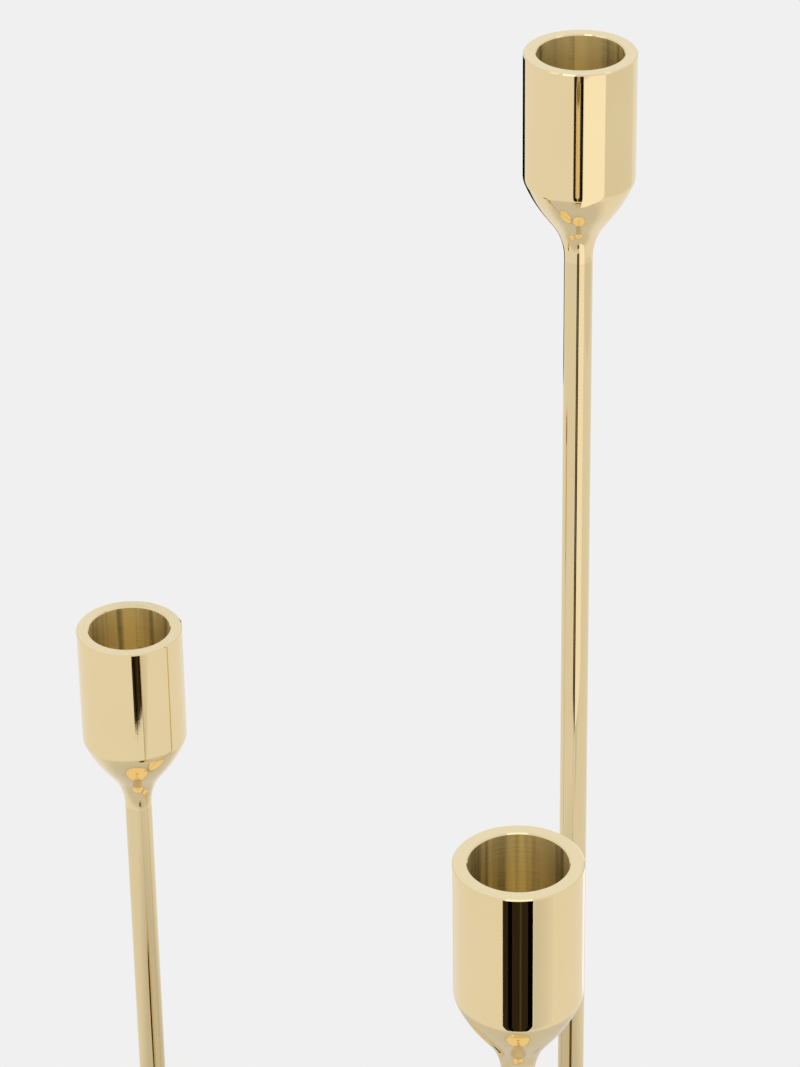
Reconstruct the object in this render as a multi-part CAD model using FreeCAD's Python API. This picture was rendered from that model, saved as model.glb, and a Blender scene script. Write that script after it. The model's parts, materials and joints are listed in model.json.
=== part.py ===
import FreeCAD, Part

import math
import os
from collections import namedtuple

from FreeCAD import Vector

# Three brass candlesticks of different heights that stand together. Each one is a turned candle
# socket on a slim straight rod, which a screw holds in a heavy round foot with a felt pad.
# Millimetres, +Z up, with the origin at the centre of the underside of the tall one's pad.

# Heights from the table to the rim
tall_height = 500.0
middle_height = 401.0
low_height = 322.6

# Feet and their pads
foot_diameter = 115.0
foot_thickness = 10.0
foot_edge_radius = 1.5
foot_bottom_chamfer = 0.5
pad_thickness = 1.5
pad_margin = 3.0

# Candle sockets
socket_diameter = 30.0
candle_bore_diameter = 23.0
candle_bore_depth = 28.0
rim_chamfer = 0.3
barrel_length = 34.8
shoulder_radius = 5.3
shoulder_angle = math.radians(22.0)
crown_radius = 41.0
cone_half_angle = math.radians(36.2)
neck_radius = 17.5
neck_land = 0.25

# Rods, and the studs that join them to the sockets
rod_diameter = 7.7
rod_seat_depth = 2.0
stud_diameter = 4.0
stud_engagement = 10.0

# Foot screws and their washers
screw_diameter = 4.0
screw_length = 12.0
screw_head_diameter = 7.0
screw_head_height = 4.0
screw_socket_flats = 3.0
screw_socket_depth = 2.0
washer_diameter = 9.0
washer_thickness = 0.8
head_recess = 0.3

# Clearances: radial ones round a fit, and a gap at the blind end of a hole
fit_clearance = 0.05
screw_hole_clearance = 0.25
washer_clearance = 0.3
hole_end_gap = 0.5

# Where the candlesticks stand: the gap between a foot and the tall one's foot, and the direction
# from the tall one in degrees from +X
Stick = namedtuple("Stick", "name height gap direction")
sticks = [
    Stick("tall", tall_height, None, 0),
    Stick("low", low_height, 10.9, 176.81),
    Stick("middle", middle_height, 111.5, -95.88),
]

# Heights that follow from the sizes above
foot_top = pad_thickness + foot_thickness
rod_foot = foot_top - rod_seat_depth
screw_head_foot = pad_thickness + head_recess
screw_seat = screw_head_foot + screw_head_height
recess_top = screw_seat + washer_thickness
screw_tip = screw_seat + screw_length


def at(x, z):
    """Point of an outline in the XZ plane."""
    return Vector(x, 0, z)


def chain(points):
    """Straight edges from point to point."""
    return [Part.makeLine(start, end) for start, end in zip(points, points[1:])]


def arc(centre, radius, start, end):
    """Arc in the XZ plane between two angles in radians, measured from +X towards +Z."""
    points = []
    for angle in (start, (start + end) / 2, end):
        points.append(centre + Vector(radius * math.cos(angle), 0, radius * math.sin(angle)))
    return Part.Arc(*points).toShape()


def turned(edges):
    """Solid made by turning a closed outline of the XZ plane about the Z axis."""
    face = Part.Face(Part.Wire(Part.sortEdges(edges)[0]))
    return face.revolve(Vector(0, 0, 0), Vector(0, 0, 1), 360)


def cylinder(diameter, bottom, top):
    """Upright cylinder between two heights."""
    return Part.makeCylinder(diameter / 2, top - bottom, at(0, bottom))


def hex_prism(flats, bottom, top):
    """Upright hexagonal prism between two heights."""
    corner = flats / math.sqrt(3)
    angles = [math.radians(60 * step) for step in range(7)]
    outline = [Vector(corner * math.cos(a), corner * math.sin(a), bottom) for a in angles]
    return Part.Face(Part.makePolygon(outline)).extrude(Vector(0, 0, top - bottom))


def inward(angle):
    """Direction towards the axis and square to a wall at this angle to the axis."""
    return at(-math.cos(angle), math.sin(angle))


def bend(start, radius, first, last):
    """Arc of a turned wall that goes down while its angle to the axis changes."""
    side = math.copysign(radius, last - first)
    centre = start + inward(first) * side
    points = [centre - inward(angle) * side for angle in (first, (first + last) / 2, last)]
    return Part.Arc(*points).toShape()


def last_point(edge):
    return edge.valueAt(edge.LastParameter)


def socket_wall(rim):
    """Edges of a socket's outer wall from the foot of its barrel down to the end of its neck."""
    barrel_foot = at(socket_diameter / 2, rim - barrel_length)
    shoulder = bend(barrel_foot, shoulder_radius, 0, shoulder_angle)
    crown = bend(last_point(shoulder), crown_radius, shoulder_angle, cone_half_angle)
    cone_top = last_point(crown)
    cone_foot_radius = rod_diameter / 2 + neck_radius * (1 - math.cos(cone_half_angle))
    cone_length = (cone_top.x - cone_foot_radius) / math.tan(cone_half_angle)
    cone_foot = at(cone_foot_radius, cone_top.z - cone_length)
    neck = bend(cone_foot, neck_radius, cone_half_angle, 0)
    cone = chain([cone_top, cone_foot])
    land = chain([last_point(neck), last_point(neck) - at(0, neck_land)])
    return [shoulder, crown] + cone + [neck] + land


def socket_length():
    """Height of a candle socket from the end of its neck to its rim."""
    return -last_point(socket_wall(0)[-1]).z


def candle_socket(rim):
    """Turned socket with a barrel, a rounded shoulder, a crowned cone and a neck on the rod."""
    outer = socket_diameter / 2
    bore = candle_bore_diameter / 2
    wall = socket_wall(rim)
    neck_end = last_point(wall[-1])
    bore_floor = rim - candle_bore_depth
    rest = chain([
        neck_end,
        at(0, neck_end.z),
        at(0, bore_floor),
        at(bore, bore_floor),
        at(bore, rim - rim_chamfer),
        at(bore + rim_chamfer, rim),
        at(outer - rim_chamfer, rim),
        at(outer, rim - rim_chamfer),
        at(outer, rim - barrel_length),
    ])
    stud_hole_top = neck_end.z + stud_engagement + hole_end_gap
    return turned(wall + rest).cut(threaded_hole(stud_diameter, neck_end.z, stud_hole_top))


def threaded_hole(diameter, bottom, top):
    """Plain hole that stands for a thread of this diameter."""
    return cylinder(diameter + 2 * fit_clearance, bottom, top)


def rod(top):
    """Straight rod with a threaded hole in each end."""
    stud_hole = threaded_hole(stud_diameter, top - stud_engagement - hole_end_gap, top)
    screw_hole = threaded_hole(screw_diameter, rod_foot, screw_tip + hole_end_gap)
    return cylinder(rod_diameter, rod_foot, top).cut([stud_hole, screw_hole])


def foot():
    """Round foot with a seat for the rod above and a recess for the screw below."""
    radius = foot_diameter / 2
    edge_centre = at(radius - foot_edge_radius, foot_top - foot_edge_radius)
    outline = chain([
        at(radius - foot_edge_radius, foot_top),
        at(0, foot_top),
        at(0, pad_thickness),
        at(radius - foot_bottom_chamfer, pad_thickness),
        at(radius, pad_thickness + foot_bottom_chamfer),
        at(radius, foot_top - foot_edge_radius),
    ])
    outline.append(arc(edge_centre, foot_edge_radius, 0, math.pi / 2))
    recess = cylinder(washer_diameter + 2 * washer_clearance, pad_thickness, recess_top)
    screw_hole = cylinder(screw_diameter + 2 * screw_hole_clearance, recess_top, rod_foot)
    rod_seat = cylinder(rod_diameter + 2 * fit_clearance, rod_foot, foot_top)
    return turned(outline).cut([recess, screw_hole, rod_seat])


def foot_screw():
    """Socket-head screw that reaches up through the foot into the rod."""
    head = cylinder(screw_head_diameter, screw_head_foot, screw_seat)
    shank = cylinder(screw_diameter, screw_seat, screw_tip)
    key = hex_prism(screw_socket_flats, screw_head_foot, screw_head_foot + screw_socket_depth)
    return head.fuse(shank).removeSplitter().cut(key)


def foot_washer():
    """Washer between the screw's head and the foot."""
    hole = cylinder(screw_diameter + 2 * screw_hole_clearance, screw_seat, recess_top)
    return cylinder(washer_diameter, screw_seat, recess_top).cut(hole)


def candlestick(stick):
    """The seven pieces of one candlestick, in their place."""
    rod_top = stick.height - socket_length()
    pieces = {
        "felt_pad": cylinder(foot_diameter - 2 * pad_margin, 0, pad_thickness),
        "foot": foot(),
        "foot_washer": foot_washer(),
        "foot_screw": foot_screw(),
        "rod": rod(rod_top),
        "socket_stud": cylinder(
            stud_diameter, rod_top - stud_engagement, rod_top + stud_engagement),
        "socket": candle_socket(stick.height),
    }
    for piece in pieces.values():
        piece.translate(place(stick))
    return {f"{stick.name}_{kind}": piece for kind, piece in pieces.items()}


def place(stick):
    """Where a candlestick's axis meets the table."""
    if stick.gap is None:
        return Vector(0, 0, 0)
    distance = foot_diameter + stick.gap
    angle = math.radians(stick.direction)
    return Vector(distance * math.cos(angle), distance * math.sin(angle), 0)


def main():
    os.makedirs("parts", exist_ok=True)
    pieces = {}
    for stick in sticks:
        pieces.update(candlestick(stick))
    for node, piece in pieces.items():
        if len(piece.Solids) != 1 or not piece.isValid():
            raise RuntimeError(f"{node} is not one valid solid")
        piece.Solids[0].exportStep(f"parts/{node}.step")
    print(len(pieces), "nodes, socket length", round(socket_length(), 2))


main()
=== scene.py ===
import json
import math

import bmesh
import bpy
from bpy.props import FloatProperty, FloatVectorProperty, IntProperty, PointerProperty
from mathutils import Matrix, Vector


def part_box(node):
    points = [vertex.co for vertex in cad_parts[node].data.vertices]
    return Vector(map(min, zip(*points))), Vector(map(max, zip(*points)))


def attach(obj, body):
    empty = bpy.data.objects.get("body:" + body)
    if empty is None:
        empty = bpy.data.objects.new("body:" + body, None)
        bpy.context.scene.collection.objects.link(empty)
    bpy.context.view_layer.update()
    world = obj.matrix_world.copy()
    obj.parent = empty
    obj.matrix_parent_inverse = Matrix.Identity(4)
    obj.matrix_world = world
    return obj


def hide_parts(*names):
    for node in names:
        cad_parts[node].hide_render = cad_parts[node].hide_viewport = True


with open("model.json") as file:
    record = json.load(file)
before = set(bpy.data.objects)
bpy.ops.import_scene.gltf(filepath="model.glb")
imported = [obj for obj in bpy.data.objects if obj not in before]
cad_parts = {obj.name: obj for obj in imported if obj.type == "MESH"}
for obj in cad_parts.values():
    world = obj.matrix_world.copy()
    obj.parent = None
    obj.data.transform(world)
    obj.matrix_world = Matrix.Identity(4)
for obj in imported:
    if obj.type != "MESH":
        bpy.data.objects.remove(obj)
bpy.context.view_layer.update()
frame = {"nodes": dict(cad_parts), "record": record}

bl_info = {
    "name": "Brass candlesticks",
    "version": (1, 0, 0),
    "blender": (4, 5, 0),
    "location": "View3D > Sidebar > Candlesticks",
    "description": "Polished brass candlesticks with turned sockets, slim rods and round feet",
    "category": "Object",
}

STICKS = ("tall", "low", "middle")
MILLIMETRE = 0.001
BODY = "root"
BLACK = (0.0, 0.0, 0.0)


# Places and sizes that the solids already hold

def node_centre(node):
    """Where a node's upright axis stands, its lowest height and its highest height."""
    low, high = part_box(node)
    return Vector(((low.x + high.x) / 2, (low.y + high.y) / 2, 0)), low.z, high.z


def node_diameter(node):
    """Diameter of a round node."""
    low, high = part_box(node)
    return max(high.x - low.x, high.y - low.y)


def group_centre():
    """Middle of the three candlesticks on the table."""
    return sum((node_centre(f"{stick}_rod")[0] for stick in STICKS), Vector()) / len(STICKS)


def candle_bore(stick):
    """Radius and depth of a candlestick's bore, without its chamfer, from the record's mount."""
    mounts = {mount["name"]: mount for mount in frame["record"]["mounts"]}
    dims = mounts[f"{stick}_candle_bore"]["dims"]
    return dims["r_mm"] * MILLIMETRE, dims["length_mm"] * MILLIMETRE


# Settings that a user would change

class SocketSettings(bpy.types.PropertyGroup):
    """Shape of the candle sockets between their rim and their neck."""
    barrel: FloatProperty(
        name="Barrel", description="Length of the straight wall under the rim",
        default=0.0348, unit="LENGTH")
    shoulder: FloatProperty(
        name="Shoulder", description="Radius of the rounding between the barrel and the crown",
        default=0.0053, unit="LENGTH")
    shoulder_angle: FloatProperty(
        name="Shoulder end", description="Angle between the wall and the axis under the shoulder",
        default=math.radians(22.0), subtype="ANGLE")
    crown: FloatProperty(
        name="Crown", description="Radius of the slight bulge in the upper part of the cone",
        default=0.041, unit="LENGTH")
    cone_angle: FloatProperty(
        name="Cone", description="Angle between the cone's wall and the socket's axis",
        default=math.radians(36.2), subtype="ANGLE")
    neck: FloatProperty(
        name="Neck", description="Radius of the hollow rounding between the cone and the rod",
        default=0.0175, unit="LENGTH")
    rim_easing: FloatProperty(
        name="Rim easing", description="Width of the small chamfers on the rim's two edges",
        default=0.0003, unit="LENGTH")
    sides: IntProperty(
        name="Sides", description="Number of faces around each turned piece",
        default=160, min=24)
    step: FloatProperty(
        name="Step", description="Largest distance between rings along a straight wall",
        default=0.0011, unit="LENGTH")


class FitSettings(bpy.types.PropertyGroup):
    """Play between the pieces that are screwed together."""
    snug: FloatProperty(
        name="Snug fit", description="Gap all round a stud, a thread or a rod in its seat",
        default=0.00005, unit="LENGTH")
    screw: FloatProperty(
        name="Screw hole", description="Gap all round a screw in the foot",
        default=0.00025, unit="LENGTH")
    washer: FloatProperty(
        name="Washer recess", description="Gap all round a washer in its recess",
        default=0.0003, unit="LENGTH")
    end: FloatProperty(
        name="Hole end", description="Gap beyond the end of a stud or screw",
        default=0.0005, unit="LENGTH")


class FootSettings(bpy.types.PropertyGroup):
    """Edges of the round feet."""
    top_edge: FloatProperty(
        name="Top edge", description="Radius of the foot's upper edge",
        default=0.0015, unit="LENGTH")
    bottom_edge: FloatProperty(
        name="Bottom edge", description="Width of the chamfer on the foot's lower edge",
        default=0.0005, unit="LENGTH")
    pad_edge: FloatProperty(
        name="Pad edge", description="Rounding of the felt pad's cut edge",
        default=0.0004, unit="LENGTH")


class BrassSettings(bpy.types.PropertyGroup):
    """Colours and polish of the brass."""
    polished: FloatVectorProperty(
        name="Polished brass", description="Colour of the mirror-polished brass",
        default=(0.877, 0.708, 0.409), subtype="COLOR", min=0, max=1)
    deep: FloatVectorProperty(
        name="Deep brass", description="Colour of the brass where it is a little richer",
        default=(0.85, 0.675, 0.37), subtype="COLOR", min=0, max=1)
    rim: FloatVectorProperty(
        name="Rim brass", description="Colour of the freshly turned brass of the rim face",
        default=(0.93, 0.81, 0.535), subtype="COLOR", min=0, max=1)
    # The bore colour is the brass inside the bore. It is also the lit end of the bore's painted streaks
    # of light.
    bore: FloatVectorProperty(
        name="Bore brass", description="Colour of the unpolished brass inside the bore",
        default=(1.0, 0.84, 0.43), subtype="COLOR", min=0, max=1)
    # Painted shade: the share of the bore colour left in the darkest streaks, which are painted shade
    # deepened where the real tool-mark rings fall.
    bore_painted_shade: FloatProperty(
        name="Bore shade", description="How bright the darkest streaks of the bore are", default=0.30)
    # Painted shade: the rods' brass colour is darkened by this share so that the rods look shaded.
    rod_painted_shade: FloatProperty(
        name="Rod shade", description="How bright the rods' brass is beside the sockets'", default=0.92)
    polish_roughness: FloatProperty(
        name="Polish", description="Roughness of the mirror-polished brass", default=0.035)
    rim_roughness: FloatProperty(
        name="Rim polish", description="Roughness of the turned rim face", default=0.16)
    bore_roughness: FloatProperty(
        name="Bore polish", description="Roughness of the turned bore", default=0.34)


class StageSettings(bpy.types.PropertyGroup):
    """Camera, floor and light."""
    camera_place: FloatVectorProperty(
        name="Camera", description="Where the camera stands, from the tall candlestick's foot",
        default=(-0.04874, -0.99660, 0.93424), subtype="TRANSLATION", unit="LENGTH")
    camera_tilt: FloatProperty(
        name="Tilt", description="How far the camera looks down",
        default=math.radians(30.114), subtype="ANGLE")
    camera_roll: FloatProperty(
        name="Roll", description="How far the camera leans to one side",
        default=math.radians(0.846), subtype="ANGLE")
    lens: FloatProperty(
        name="Lens", description="Focal length in millimetres on a 36 mm sensor", default=140.23)
    background: FloatProperty(
        name="Background", description="Brightness of the pale background", default=0.886)
    daylight: FloatProperty(
        name="Daylight", description="Brightness of the light all round", default=0.87)
    table_white: FloatProperty(
        name="Table", description="Brightness of the table's own surface", default=0.78)
    evenness: FloatProperty(
        name="Evenness", description="How far the table shows the background in place of shadows",
        default=0.93, min=0, max=1)
    near_table: FloatProperty(
        name="Table between the feet",
        description="Distance within which the brass shows the table's own shading",
        default=0.22, unit="LENGTH")
    far_table: FloatProperty(
        name="Table all round",
        description="Distance beyond which the brass shows the even background",
        default=0.34, unit="LENGTH")


# Materials

class Wire:
    """A shader socket whose sums are written as expressions, each of which adds a Math node."""

    def __init__(self, finish, socket):
        self.finish = finish
        self.socket = socket

    def maths(self, operation, first, second=0.0, clamp=False):
        settings = {"operation": operation, "use_clamp": clamp}
        return self.finish.node("ShaderNodeMath", settings, {0: first, 1: second})

    def __add__(self, other):
        return self.maths("ADD", self, other)

    def __radd__(self, other):
        return self.maths("ADD", other, self)

    def __sub__(self, other):
        return self.maths("SUBTRACT", self, other)

    def __rsub__(self, other):
        return self.maths("SUBTRACT", other, self)

    def __mul__(self, other):
        return self.maths("MULTIPLY", self, other)

    def __rmul__(self, other):
        return self.maths("MULTIPLY", other, self)

    def limited(self):
        """The same value held between 0 and 1."""
        return self.maths("ADD", self, 0.0, clamp=True)


class Finish:
    """A node material with one Principled shader."""

    def __init__(self, name):
        self.material = bpy.data.materials.new(name)
        self.material.use_nodes = True
        self.tree = self.material.node_tree
        self.tree.nodes.clear()

    def node(self, kind, settings=None, values=None, output=0):
        """Adds a node, sets it up, fills or links its inputs, and returns one of its outputs."""
        node = self.tree.nodes.new(kind)
        for name, value in (settings or {}).items():
            setattr(node, name, value)
        for name, value in (values or {}).items():
            if isinstance(value, Wire):
                self.tree.links.new(value.socket, node.inputs[name])
            else:
                node.inputs[name].default_value = value
        return Wire(self, node.outputs[output]) if node.outputs else None

    def place(self):
        """Object coordinates in metres."""
        return self.node("ShaderNodeTexCoord", output="Object")

    def stretched(self, centre, scale):
        """Object coordinates counted from a centre and scaled along each axis."""
        shifted = self.node(
            "ShaderNodeVectorMath", {"operation": "SUBTRACT"}, {0: self.place(), 1: centre})
        return self.node("ShaderNodeVectorMath", {"operation": "MULTIPLY"}, {0: shifted, 1: scale})

    def noise(self, place, scale, detail=3.0, roughness=0.5):
        """Noise from 0 to 1."""
        values = {"Vector": place, "Scale": scale, "Detail": detail, "Roughness": roughness}
        return self.node("ShaderNodeTexNoise", None, values)

    def blend(self, share, first, second):
        """Colour between two others."""
        settings = {"data_type": "RGBA"}
        return self.node("ShaderNodeMix", settings, {0: share, 6: first, 7: second}, output=2)

    def bump(self, height, depth, strength=1.0):
        values = {"Height": height, "Distance": depth, "Strength": strength}
        return self.node("ShaderNodeBump", None, values)

    def glow(self, colour):
        """Even light of a colour."""
        return self.node("ShaderNodeEmission", None, {"Color": opaque(colour)})

    def mixed(self, share, first, second):
        """Shader between two others."""
        return self.node("ShaderNodeMixShader", None, {0: share, 1: first, 2: second})

    def shown(self, shader):
        """The material, with a shader joined to its output."""
        self.node("ShaderNodeOutputMaterial", None, {"Surface": shader})
        return self.material

    def surface(self, values):
        """The material, with these inputs of a Principled shader."""
        return self.shown(self.node("ShaderNodeBsdfPrincipled", None, values))


def opaque(colour):
    return (*colour, 1.0)


def polished_brass(name, settings, shade=1.0):
    """Mirror-polished brass with faint cloudiness and hairline wiping marks. A shade below 1 darkens
    both colours as painted shade.
    """
    light = opaque([shade * part for part in settings.polished])
    rich = opaque([shade * part for part in settings.deep])
    finish = Finish(name)
    clouds = finish.noise(finish.place(), 60.0, 4.0)
    marks = finish.noise(finish.stretched((0, 0, 0), (1, 1, 14)), 420.0, 5.0, 0.65)
    colour = finish.blend((clouds - 0.35).limited(), light, rich)
    roughness = settings.polish_roughness * (0.6 + 0.5 * clouds + 0.4 * marks)
    normal = finish.bump(marks, 0.0000012)
    return finish.surface({
        "Base Color": colour, "Metallic": 1.0, "Roughness": roughness, "Normal": normal})


def rim_brass(name, settings, centre):
    """Rim face with the fine circles that the turning tool leaves."""
    finish = Finish(name)
    flat = finish.stretched(centre, (1, 1, 0))
    radius = finish.node("ShaderNodeVectorMath", {"operation": "LENGTH"}, {0: flat}, output=1)
    circles = finish.noise(radius * 9000.0, 1.0, 2.0)
    grain = finish.noise(flat, 2600.0, 4.0, 0.7)
    colour = finish.blend(
        (grain - 0.3).limited(), opaque(settings.rim), opaque(settings.polished))
    roughness = settings.rim_roughness * (0.7 + 0.6 * grain)
    normal = finish.bump(circles + grain, 0.00001)
    return finish.surface({
        "Base Color": colour, "Metallic": 1.0, "Roughness": roughness, "Normal": normal})


def bore_brass(name, settings, centre):
    """Unpolished bore with rings of tool marks, which draw each light out along the bore. Its colour
    also carries painted streaks of light and shade along the bore, deepened by the real tool-mark
    rings.
    """
    finish = Finish(name)
    rings = finish.noise(finish.stretched(centre, (60, 60, 5200)), 1.0, 3.0, 0.6)
    # Painted streaks of reflected light and shade running along the bore.
    streaks = finish.noise(finish.stretched(centre, (330, 330, 6)), 1.0, 2.0)
    sparks = finish.noise(finish.stretched(centre, (900, 900, 5200)), 1.0, 2.0)
    # Dark end of the bore colour: painted shade of the streaks, also reached where the real tool-mark
    # rings fall.
    dark = opaque([settings.bore_painted_shade * part for part in settings.bore])
    shade = (4.4 * streaks + 0.8 * rings - 2.45).limited()
    colour = finish.blend(shade, opaque(settings.bore), dark)
    roughness = settings.bore_roughness * (0.75 + 0.3 * streaks + 0.25 * sparks)
    normal = finish.bump(rings + 0.6 * sparks, 0.00002)
    return finish.surface({
        "Base Color": colour, "Metallic": 0.9, "Roughness": roughness,
        "Anisotropic": 0.85, "Anisotropic Rotation": 0.25, "Normal": normal})


def pressed_felt(name):
    """Black felt with matted fibres."""
    finish = Finish(name)
    fibres = finish.noise(finish.place(), 2400.0, 6.0, 0.75)
    patches = finish.noise(finish.place(), 180.0, 3.0)
    colour = finish.blend(
        (0.6 * fibres + 0.4 * patches).limited(), (0.012, 0.012, 0.012, 1), (0.05, 0.05, 0.048, 1))
    normal = finish.bump(fibres, 0.00015, 0.8)
    return finish.surface({
        "Base Color": colour, "Roughness": 0.95, "Sheen Weight": 0.3, "Normal": normal})


def plated_steel(name):
    """Zinc-plated steel of the screws, washers and studs."""
    finish = Finish(name)
    grain = finish.noise(finish.place(), 1500.0, 4.0)
    colour = finish.blend(grain, (0.50, 0.50, 0.52, 1), (0.62, 0.62, 0.61, 1))
    return finish.surface({
        "Base Color": colour, "Metallic": 1.0, "Roughness": 0.22 + 0.2 * grain,
        "Normal": finish.bump(grain, 0.00001)})


# Turned shapes

class Outline:
    """Half the section of a turned piece, drawn from point to point and then spun."""

    def __init__(self, radius, height):
        self.mesh = bmesh.new()
        self.tip = self.mesh.verts.new((radius, 0, height))

    def line(self, radius, height, step=None):
        """Straight run to a point, with rings at most one step apart."""
        start = self.tip.co.copy()
        end = Vector((radius, 0, height))
        count = max(1, math.ceil((end - start).length / step)) if step else 1
        for number in range(1, count + 1):
            grown = bmesh.ops.extrude_vert_indiv(self.mesh, verts=[self.tip])
            self.tip = grown["verts"][0]
            self.tip.co = start.lerp(end, number / count)
        return self

    def arc(self, radius, height, angle, steps):
        """Arc about a centre; a positive angle turns from the height towards the radius."""
        turned = bmesh.ops.spin(
            self.mesh, geom=[self.tip], cent=(radius, 0, height), axis=(0, 1, 0),
            angle=angle, steps=steps)
        self.tip = next(item for item in turned["geom_last"] if isinstance(item, bmesh.types.BMVert))
        return self

    def bend(self, radius, first, last, steps):
        """Curve that goes down while the wall's angle to the axis changes from first to last."""
        side = math.copysign(radius, last - first)
        centre = self.tip.co + side * Vector((-math.cos(first), 0, math.sin(first)))
        return self.arc(centre.x, centre.z, last - first, steps)

    def spun(self, name, place, sides):
        """A smooth closed mesh object that stands at a place, with sharp edges kept."""
        mesh = self.mesh
        bmesh.ops.spin(
            mesh, geom=mesh.verts[:] + mesh.edges[:], cent=(0, 0, 0), axis=(0, 0, 1),
            angle=math.tau, steps=sides, use_merge=True)
        bmesh.ops.remove_doubles(mesh, verts=mesh.verts, dist=1e-6)
        bmesh.ops.translate(mesh, verts=mesh.verts, vec=place)
        bmesh.ops.recalc_face_normals(mesh, faces=mesh.faces)
        return finished(mesh, name)


def finished(mesh, name):
    """A scene object made from a bmesh, shaded smooth except across its corners."""
    data = bpy.data.meshes.new(name)
    mesh.to_mesh(data)
    mesh.free()
    data.shade_smooth()
    data.set_sharp_from_angle(angle=math.radians(24))
    piece = bpy.data.objects.new(name, data)
    bpy.context.scene.collection.objects.link(piece)
    return piece


def stud_hole(stick, fits, upwards):
    """Radius of the hole for a candlestick's stud, and the height where it ends."""
    node = f"{stick}_socket_stud"
    place, low, high = node_centre(node)
    return node_diameter(node) / 2 + fits.snug, high + fits.end if upwards else low - fits.end


def stands_for(piece, node):
    """The piece is shown in place of a node and moves with it."""
    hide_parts(node)
    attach(piece, BODY)


class CANDLESTICKS_OT_sockets(bpy.types.Operator):
    """Turn the three candle sockets"""
    bl_idname = "candlesticks.sockets"
    bl_label = "Candle sockets"

    def execute(self, context):
        scene = context.scene
        outside = polished_brass("polished_brass", scene.candle_brass)
        for stick in STICKS:
            self.turn(stick, scene.candle_sockets, scene.candle_fits, scene.candle_brass, outside)
        return {"FINISHED"}

    def turn(self, stick, shape, fits, brass, outside):
        node = f"{stick}_socket"
        place, foot, rim = node_centre(node)
        outer = node_diameter(node) / 2
        neck = node_diameter(f"{stick}_rod") / 2
        bore, wall = candle_bore(stick)
        bore_floor = rim - shape.rim_easing - wall
        cone_foot = neck + shape.neck * (1 - math.cos(shape.cone_angle))
        hole, hole_end = stud_hole(stick, fits, upwards=True)
        outline = Outline(0, bore_floor)
        outline.line(bore, bore_floor, 2 * shape.step)
        outline.line(bore, rim - shape.rim_easing, shape.step)
        outline.line(bore + shape.rim_easing, rim)
        outline.line(outer - shape.rim_easing, rim, shape.step)
        outline.line(outer, rim - shape.rim_easing)
        outline.line(outer, rim - shape.barrel, shape.step)
        outline.bend(shape.shoulder, 0, shape.shoulder_angle, 14)
        outline.bend(shape.crown, shape.shoulder_angle, shape.cone_angle, 18)
        cone_end = outline.tip.co.z - (outline.tip.co.x - cone_foot) / math.tan(shape.cone_angle)
        outline.line(cone_foot, cone_end, shape.step)
        outline.bend(shape.neck, shape.cone_angle, 0, 28)
        outline.line(neck, foot)
        outline.line(hole, foot)
        outline.line(hole, hole_end)
        outline.line(0, hole_end)
        piece = outline.spun(f"{stick}_candle_socket", place, shape.sides)
        piece.data.materials.append(outside)
        piece.data.materials.append(rim_brass(f"{stick}_rim_brass", brass, place))
        piece.data.materials.append(bore_brass(f"{stick}_bore_brass", brass, place))
        self.share_out(piece.data, place, bore, bore_floor, rim)
        stands_for(piece, node)

    def share_out(self, data, place, bore, bore_floor, rim):
        """The rim face and the bore get their own finish, and the rest stays polished."""
        hair = 0.02 * MILLIMETRE
        for face in data.polygons:
            distance = (Vector((face.center.x, face.center.y, 0)) - place).length
            if face.normal.z > 0.99 and face.center.z > rim - hair:
                face.material_index = 1
            elif distance < bore + hair and face.center.z > bore_floor - hair:
                face.material_index = 2


class CANDLESTICKS_OT_rods(bpy.types.Operator):
    """Draw the three rods"""
    bl_idname = "candlesticks.rods"
    bl_label = "Rods"

    def execute(self, context):
        shape = context.scene.candle_sockets
        fits = context.scene.candle_fits
        settings = context.scene.candle_brass
        # The rods get a darker copy of the polished brass as painted shade.
        brass = polished_brass("rod_brass_painted_shade", settings, settings.rod_painted_shade)
        for stick in STICKS:
            node = f"{stick}_rod"
            place, foot, top = node_centre(node)
            radius = node_diameter(node) / 2
            hole, stud_end = stud_hole(stick, fits, upwards=False)
            screw_end = node_centre(f"{stick}_foot_screw")[2] + fits.end
            outline = Outline(0, screw_end)
            outline.line(hole, screw_end)
            outline.line(hole, foot)
            outline.line(radius, foot)
            outline.line(radius, top, 12 * shape.step)
            outline.line(hole, top)
            outline.line(hole, stud_end)
            outline.line(0, stud_end)
            piece = outline.spun(f"{stick}_drawn_rod", place, shape.sides)
            piece.data.materials.append(brass)
            stands_for(piece, node)
        return {"FINISHED"}


class CANDLESTICKS_OT_feet(bpy.types.Operator):
    """Turn the three round feet"""
    bl_idname = "candlesticks.feet"
    bl_label = "Feet"

    def execute(self, context):
        shape = context.scene.candle_feet
        fits = context.scene.candle_fits
        sides = context.scene.candle_sockets.sides
        brass = polished_brass("foot_brass", context.scene.candle_brass)
        for stick in STICKS:
            node = f"{stick}_foot"
            place, bottom, top = node_centre(node)
            radius = node_diameter(node) / 2
            rod = f"{stick}_rod"
            washer = f"{stick}_foot_washer"
            seat = node_diameter(rod) / 2 + fits.snug
            seat_floor = node_centre(rod)[1]
            hole = node_diameter(f"{stick}_socket_stud") / 2 + fits.screw
            recess = node_diameter(washer) / 2 + fits.washer
            recess_top = node_centre(washer)[2]
            outline = Outline(hole, seat_floor)
            outline.line(hole, recess_top)
            outline.line(recess, recess_top)
            outline.line(recess, bottom)
            outline.line(radius - shape.bottom_edge, bottom, 0.004)
            outline.line(radius, bottom + shape.bottom_edge)
            outline.line(radius, top - shape.top_edge, 0.001)
            outline.arc(radius - shape.top_edge, top - shape.top_edge, -math.pi / 2, 10)
            outline.line(seat, top, 0.003)
            outline.line(seat, seat_floor)
            outline.line(hole, seat_floor)
            piece = outline.spun(f"{stick}_turned_foot", place, sides)
            piece.data.materials.append(brass)
            stands_for(piece, node)
        return {"FINISHED"}


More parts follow.
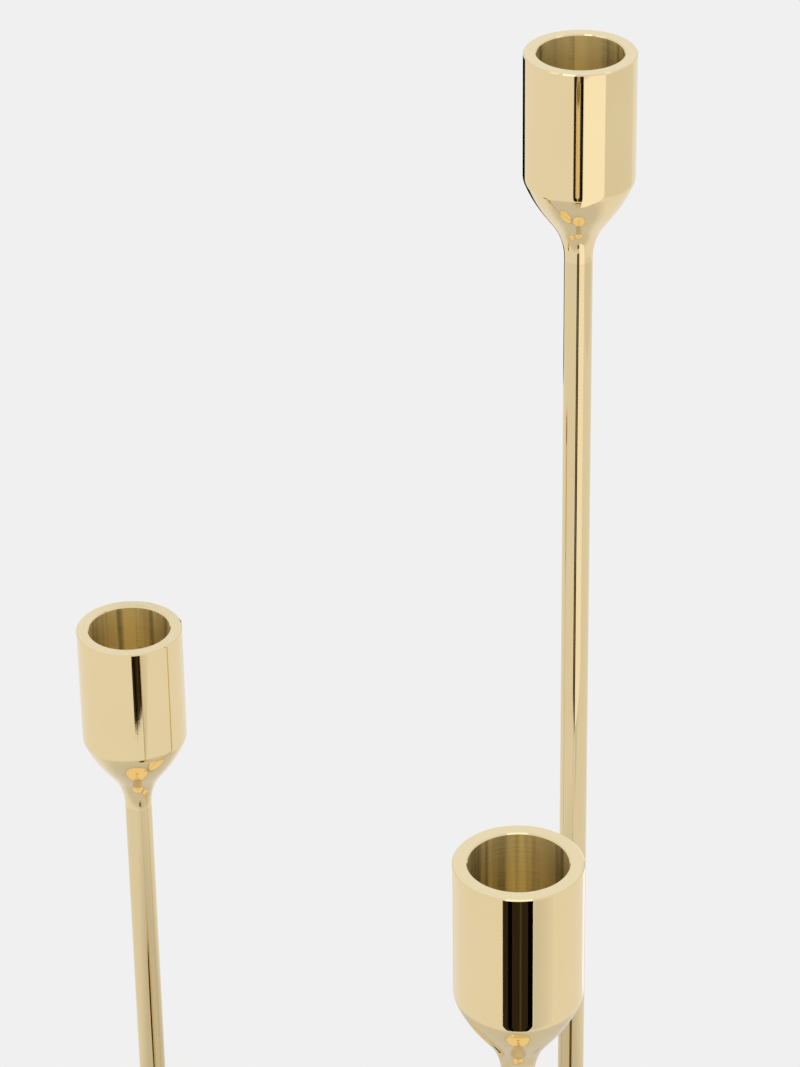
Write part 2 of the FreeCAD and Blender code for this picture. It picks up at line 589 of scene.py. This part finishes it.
class CANDLESTICKS_OT_pads(bpy.types.Operator):
    """Cut the three felt pads"""
    bl_idname = "candlesticks.pads"
    bl_label = "Felt pads"

    def execute(self, context):
        edge = context.scene.candle_feet.pad_edge
        sides = context.scene.candle_sockets.sides
        felt = pressed_felt("pressed_felt")
        for stick in STICKS:
            node = f"{stick}_felt_pad"
            place, bottom, top = node_centre(node)
            radius = node_diameter(node) / 2
            outline = Outline(0, bottom)
            outline.line(radius - edge, bottom, 0.004)
            outline.arc(radius - edge, bottom + edge, -math.pi / 2, 4)
            outline.line(radius, top)
            outline.line(0, top)
            piece = outline.spun(f"{stick}_pad", place, sides)
            piece.data.materials.append(felt)
            stands_for(piece, node)
        return {"FINISHED"}


class CANDLESTICKS_OT_fasteners(bpy.types.Operator):
    """Plate the screws, washers and studs"""
    bl_idname = "candlesticks.fasteners"
    bl_label = "Fasteners"

    def execute(self, context):
        steel = plated_steel("plated_steel")
        for stick in STICKS:
            for kind in ("foot_screw", "foot_washer", "socket_stud"):
                data = frame["nodes"][f"{stick}_{kind}"].data
                data.materials.clear()
                data.materials.append(steel)
        return {"FINISHED"}


def upright(start, end, bottom, top):
    """Corners of an upright card between two points of the table."""
    return [(*start, bottom), (*end, bottom), (*end, top), (*start, top)]


def level_card(start, end, height):
    """Corners of a level card between two opposite corners."""
    return [(*start, height), (end[0], start[1], height), (*end, height), (start[0], end[1], height)]


class CANDLESTICKS_OT_stage(bpy.types.Operator):
    """Set up the floor, the light and the camera"""
    bl_idname = "candlesticks.stage"
    bl_label = "Stage"

    def execute(self, context):
        stage = context.scene.candle_stage
        self.floor(stage)
        self.daylight(context.scene, stage)
        self.cards()
        self.camera(context.scene, stage)
        context.scene.view_settings.view_transform = "Standard"
        return {"FINISHED"}

    def floor(self, stage):
        mesh = bmesh.new()
        bmesh.ops.create_grid(mesh, x_segments=2, y_segments=2, size=6)
        floor = finished(mesh, "floor")
        floor.data.materials.append(self.pale_table(stage))

    def pale_table(self, stage):
        """A pale, even table with soft shadows; between the feet the brass shows its own shading."""
        finish = Finish("pale_table")
        white = stage.table_white
        own = finish.node("ShaderNodeBsdfDiffuse", None, {"Color": (white, white, white, 1)})
        pale = finish.glow([stage.background] * 3)
        seen = finish.node("ShaderNodeLightPath", output="Is Camera Ray")
        mirrored = finish.node("ShaderNodeLightPath", output="Is Glossy Ray")
        through = finish.node("ShaderNodeLightPath", output="Is Transmission Ray")
        flat = finish.stretched(group_centre(), (1, 1, 0))
        distance = finish.node("ShaderNodeVectorMath", {"operation": "LENGTH"}, {0: flat}, output=1)
        reach = stage.far_table - stage.near_table
        openness = ((distance - stage.near_table) * (1 / reach)).limited()
        even = (seen + through + mirrored * openness).limited()
        return finish.shown(finish.mixed(stage.evenness * even, own, pale))

    def daylight(self, scene, stage):
        world = bpy.data.worlds.new("daylight")
        world.use_nodes = True
        background = world.node_tree.nodes["Background"]
        background.inputs["Color"].default_value = (1, 1, 1, 1)
        background.inputs["Strength"].default_value = stage.daylight
        scene.world = world

    def cards(self):
        """Cards that only the brass sees, each one a band or an edge of light in it."""
        self.card("front_card", upright((-0.093, -0.358), (0.024, -0.343), 0.073, 0.360),
                  (0.030, 0.022, 0.011))
        self.card("front_line", upright((-0.066, -0.352), (-0.050, -0.350), 0.073, 0.360), BLACK)
        self.card("front_hair", upright((-0.022, -0.347), (-0.016, -0.346), 0.073, 0.360),
                  (0.075, 0.055, 0.030))
        self.card("front_edge", upright((0.006, -0.343), (0.024, -0.341), 0.073, 0.360), BLACK)
        self.card("rear_card", upright((-0.020, 0.250), (-0.150, 0.220), 0.270, 0.420), BLACK)
        self.card("side_light", upright((0.006, -0.080), (0.084, -0.080), 0.245, 0.470), (1.08,) * 3)
        self.card("ceiling_light", level_card((-0.9, -0.30), (0.9, 0.6), 1.6), (1.1,) * 3)
        self.card("front_light", level_card((-0.7, -0.66), (-0.16, -0.37), 1.6), (1.5,) * 3)
        self.card("upper_light", level_card((-0.45, -1.35), (0.4, -0.98), 1.6), (1.3,) * 3)
        self.card("right_shade", upright((0.190, -0.180), (0.250, 0.200), 0.300, 0.450),
                  (0.79, 0.79, 0.77))
        self.card("side_shade", upright((0.055, -0.400), (0.300, -0.400), 0.0, 0.330), BLACK, 0.20)

    def card(self, name, corners, colour, shade=None):
        """Glowing card of four corners; a shade lets light through, more so towards its end."""
        mesh = bmesh.new()
        mesh.faces.new([mesh.verts.new(corner) for corner in corners])
        card = finished(mesh, name)
        finish = Finish(name)
        shader = finish.glow(colour)
        if shade is not None:
            start, end = corners[0][0], corners[1][0]
            across = finish.node("ShaderNodeSeparateXYZ", None, {"Vector": finish.place()})
            share = (end - across) * (shade / (end - start))
            shader = finish.mixed(share, finish.node("ShaderNodeBsdfTransparent"), shader)
        card.data.materials.append(finish.shown(shader))
        card.visible_camera = False
        card.visible_diffuse = False
        card.visible_shadow = False

    def camera(self, scene, stage):
        data = bpy.data.cameras.new("camera")
        data.sensor_width = 36
        data.lens = stage.lens
        camera = bpy.data.objects.new("camera", data)
        tilt = Matrix.Rotation(math.pi / 2 - stage.camera_tilt, 4, "X")
        roll = Matrix.Rotation(-stage.camera_roll, 4, "Z")
        camera.matrix_world = Matrix.Translation(stage.camera_place) @ tilt @ roll
        scene.collection.objects.link(camera)
        scene.camera = camera


STEPS = (
    CANDLESTICKS_OT_sockets,
    CANDLESTICKS_OT_rods,
    CANDLESTICKS_OT_feet,
    CANDLESTICKS_OT_pads,
    CANDLESTICKS_OT_fasteners,
    CANDLESTICKS_OT_stage,
)
SETTINGS = {
    "candle_sockets": SocketSettings,
    "candle_fits": FitSettings,
    "candle_feet": FootSettings,
    "candle_brass": BrassSettings,
    "candle_stage": StageSettings,
}


class CANDLESTICKS_PT_panel(bpy.types.Panel):
    """Sidebar panel with the settings and the steps"""
    bl_idname = "CANDLESTICKS_PT_panel"
    bl_label = "Candlesticks"
    bl_space_type = "VIEW_3D"
    bl_region_type = "UI"
    bl_category = "Candlesticks"

    def draw(self, context):
        for name, group in SETTINGS.items():
            box = self.layout.box()
            for setting in group.__annotations__:
                box.prop(getattr(context.scene, name), setting)
        for step in STEPS:
            self.layout.operator(step.bl_idname)


def register():
    for group in SETTINGS.values():
        bpy.utils.register_class(group)
    for step in STEPS:
        bpy.utils.register_class(step)
    bpy.utils.register_class(CANDLESTICKS_PT_panel)
    for name, group in SETTINGS.items():
        setattr(bpy.types.Scene, name, PointerProperty(type=group))


def unregister():
    for name in SETTINGS:
        delattr(bpy.types.Scene, name)
    bpy.utils.unregister_class(CANDLESTICKS_PT_panel)
    for step in reversed(STEPS):
        bpy.utils.unregister_class(step)
    for group in SETTINGS.values():
        bpy.utils.unregister_class(group)


def main():
    register()
    for step in STEPS:
        group, name = step.bl_idname.split(".")
        getattr(getattr(bpy.ops, group), name)()


if __name__ == "__main__":
    main()
